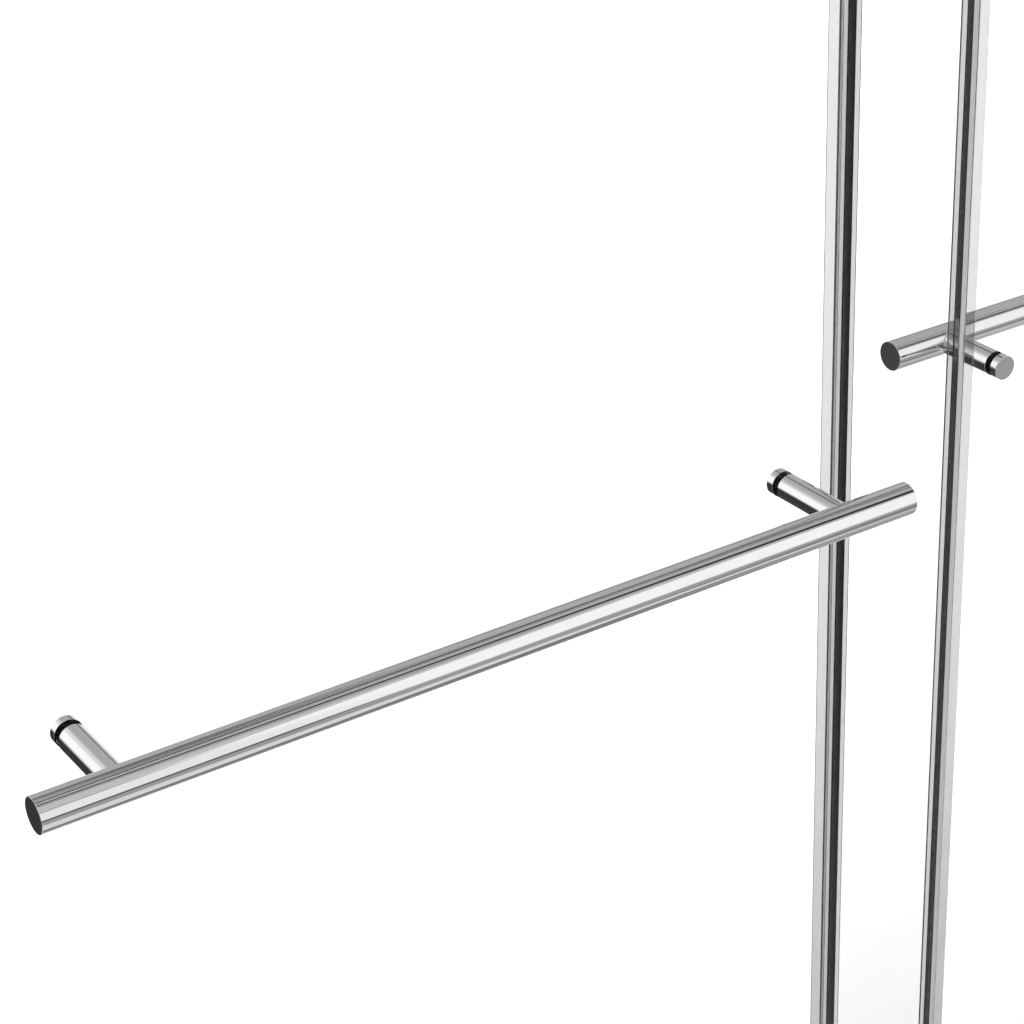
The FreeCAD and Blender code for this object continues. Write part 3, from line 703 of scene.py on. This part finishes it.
def make_bar(panel):
    """The bar's tube, open at both ends, and the cap that plugs each end."""
    body = f"{panel}_panel"
    tube = f"{panel}_bar_tube"
    low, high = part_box(tube)
    centre = middle(tube)
    radius = (high.z - low.z) / 2
    tube_length = high.x - low.x
    wall_thickness = 1.5 * MM
    bore = radius - wall_thickness
    crisp = 0.02 * MM
    bm = bmesh.new()
    wall = rounded_path([(bore, 0), (radius, 0, crisp), (radius, tube_length, crisp),
                         (bore, tube_length), (bore, 0)], steps=2)
    lathe(bm, wall, Vector((low.x, centre.y, centre.z)), (1, 0, 0), BAR_SIDES)
    bmesh.ops.remove_doubles(bm, verts=bm.verts, dist=SEAM_WELD)
    finish_piece(f"{tube}_piece", bm, body, "chrome", [tube])
    for side in ("left", "right"):
        node = f"{panel}_bar_end_cap_{side}"
        cap_low, cap_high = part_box(node)
        at_low_end = cap_low.x < low.x
        length = cap_high.x - cap_low.x
        flange = low.x - cap_low.x if at_low_end else cap_high.x - high.x
        inner_x = cap_high.x if at_low_end else cap_low.x
        direction = (-1, 0, 0) if at_low_end else (1, 0, 0)
        plug = bore - 0.1 * MM
        profile = rounded_path([
            (0, 0),
            (plug, 0, 0.5 * MM),
            (plug, length - flange),
            (radius, length - flange, crisp),
            (radius, length, 0.35 * MM),
            (0, length),
        ])
        bm = bmesh.new()
        lathe(bm, profile, Vector((inner_x, centre.y, centre.z)), direction, BAR_SIDES)
        finish_piece(f"{node}_piece", bm, body, "chrome", [node])


def make_standoff(panel, side, outward):
    """A post coped to the tube: its bar end follows the tube's surface all the way round."""
    node = f"{panel}_standoff_{side}"
    low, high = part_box(node)
    bar = middle(f"{panel}_bar_tube")
    bar_radius = span(f"{panel}_bar_tube").z / 2
    radius = (high.x - low.x) / 2
    x = (low.x + high.x) / 2
    glass_end = high.y if outward < 0 else low.y
    stud_radius = 3 * MM
    socket = 12 * MM
    shank = 30 * MM
    edge = 0.3 * MM
    sunk = 0.1 * MM
    segments = CAP_SIDES
    bm = bmesh.new()
    rings = []
    coped = []
    for i in range(segments):
        angle = 2 * math.pi * i / segments
        z = radius * math.sin(angle)
        y = bar.y - outward * (math.sqrt(bar_radius ** 2 - z ** 2) - sunk)
        coped.append(bm.verts.new((x + radius * math.cos(angle), y, bar.z + z)))
    rings.append(coped)
    profile = rounded_path([(radius, shank), (radius, 0, edge), (stud_radius, 0, 0.2 * MM),
                            (stud_radius, socket), (0, socket)], steps=4)
    for ring_radius, depth in profile:
        y = glass_end + outward * depth
        if ring_radius < NO_RADIUS:
            rings.append([bm.verts.new((x, y, bar.z))])
            continue
        ring = []
        for i in range(segments):
            angle = 2 * math.pi * i / segments
            ring.append(bm.verts.new((x + ring_radius * math.cos(angle), y,
                                      bar.z + ring_radius * math.sin(angle))))
        rings.append(ring)
    join_rings(bm, rings, segments)
    bm.faces.new(coped)
    finish_piece(f"{node}_piece", bm, f"{panel}_panel", "chrome", [node])


def make_fixing(panel, side, outward):
    """Gasket and back cap at one post, turned about the post's axis away from the bar."""
    body = f"{panel}_panel"
    inward = (0, -outward, 0)
    gasket = f"{panel}_gasket_{side}"
    low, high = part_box(gasket)
    front = low.y if outward < 0 else high.y
    glass_low, glass_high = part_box(f"{panel}_glass")
    flange = abs((glass_low.y if outward < 0 else glass_high.y) - front)
    radius = (high.x - low.x) / 2
    centre = Vector(((low.x + high.x) / 2, front, (low.z + high.z) / 2))
    length = high.y - low.y
    stud = 3.02 * MM
    sleeve = 8.03 * MM
    bm = bmesh.new()
    lathe(bm, rounded_path([(stud, 0), (radius, 0, 0.15 * MM), (radius, flange, 0.15 * MM),
                            (sleeve, flange), (sleeve, length, 0.3 * MM), (stud, length),
                            (stud, 0)], steps=4),
          centre, inward, GASKET_SIDES)
    bmesh.ops.remove_doubles(bm, verts=bm.verts, dist=SEAM_WELD)
    finish_piece(f"{gasket}_piece", bm, body, "black_rubber", [gasket])

    cap = f"{panel}_back_cap_{side}"
    low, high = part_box(cap)
    front = low.y if outward < 0 else high.y
    length = high.y - low.y
    radius = (high.x - low.x) / 2
    centre.y = front
    socket = 4.5 * MM
    bm = bmesh.new()
    lathe(bm, rounded_path([(0, socket), (stud, socket), (stud, 0, 0.3 * MM),
                            (radius, 0, 0.25 * MM), (radius, length, 0.35 * MM), (0, length)]),
          centre, inward, CAP_SIDES)
    finish_piece(f"{cap}_piece", bm, body, "chrome", [cap])


def make_hangers(panel, outward):
    """Plates, clamps, wheels, axles, screws and sleeves along the panel's top."""
    body = f"{panel}_panel"
    out = (0, outward, 0)
    for side in ("left", "right"):
        softened_copy(f"{panel}_hanger_{side}", "stainless", 0.4)
        softened_copy(f"{panel}_clamp_{side}", "stainless", 0.4)
        wheel = f"{panel}_roller_{side}"
        turned_set(wheel, wheel, "white_nylon", out, WHEEL_PROFILE, 96)
        turned_set(f"{panel}_axle_{side}", body, "stainless", out, AXLE_PROFILE, 64)
    inward = (0, -outward, 0)
    turned_set(f"{panel}_hanger_screws", body, "stainless", inward, HANGER_SCREW_PROFILE)
    turned_set(f"{panel}_hanger_sleeves", body, "clear_nylon", out, SLEEVE_PROFILE)


def make_fasteners(panel, outward):
    """The washers behind the glass, clear nylon drawn near-black with painted shade, and the
    threaded studs of the panel's two posts.
    """
    body = f"{panel}_panel"
    turned_set(f"{panel}_cap_washers", body, "clear_nylon", (0, outward, 0), WASHER_PROFILE, 96,
               "nylon_painted_dark")
    low, high = solid_boxes(f"{panel}_bar_studs")[0]
    turned_set(f"{panel}_bar_studs", body, "stainless", (0, outward, 0),
               thread_profile(3.0, (high.y - low.y) / MM))


# ---- Everything together ----

scene.view_settings.view_transform = "Standard"
make_camera()
studio_world()
materials = make_materials()
make_floor()
make_fixed_frame()
for panel_name, outward_sign in (("front", -1), ("rear", 1)):
    make_glass(panel_name)
    make_seal(panel_name, outward_sign)
    make_bar(panel_name)
    make_hangers(panel_name, outward_sign)
    make_fasteners(panel_name, outward_sign)
    for side_name in ("left", "right"):
        make_standoff(panel_name, side_name, outward_sign)
        make_fixing(panel_name, side_name, outward_sign)
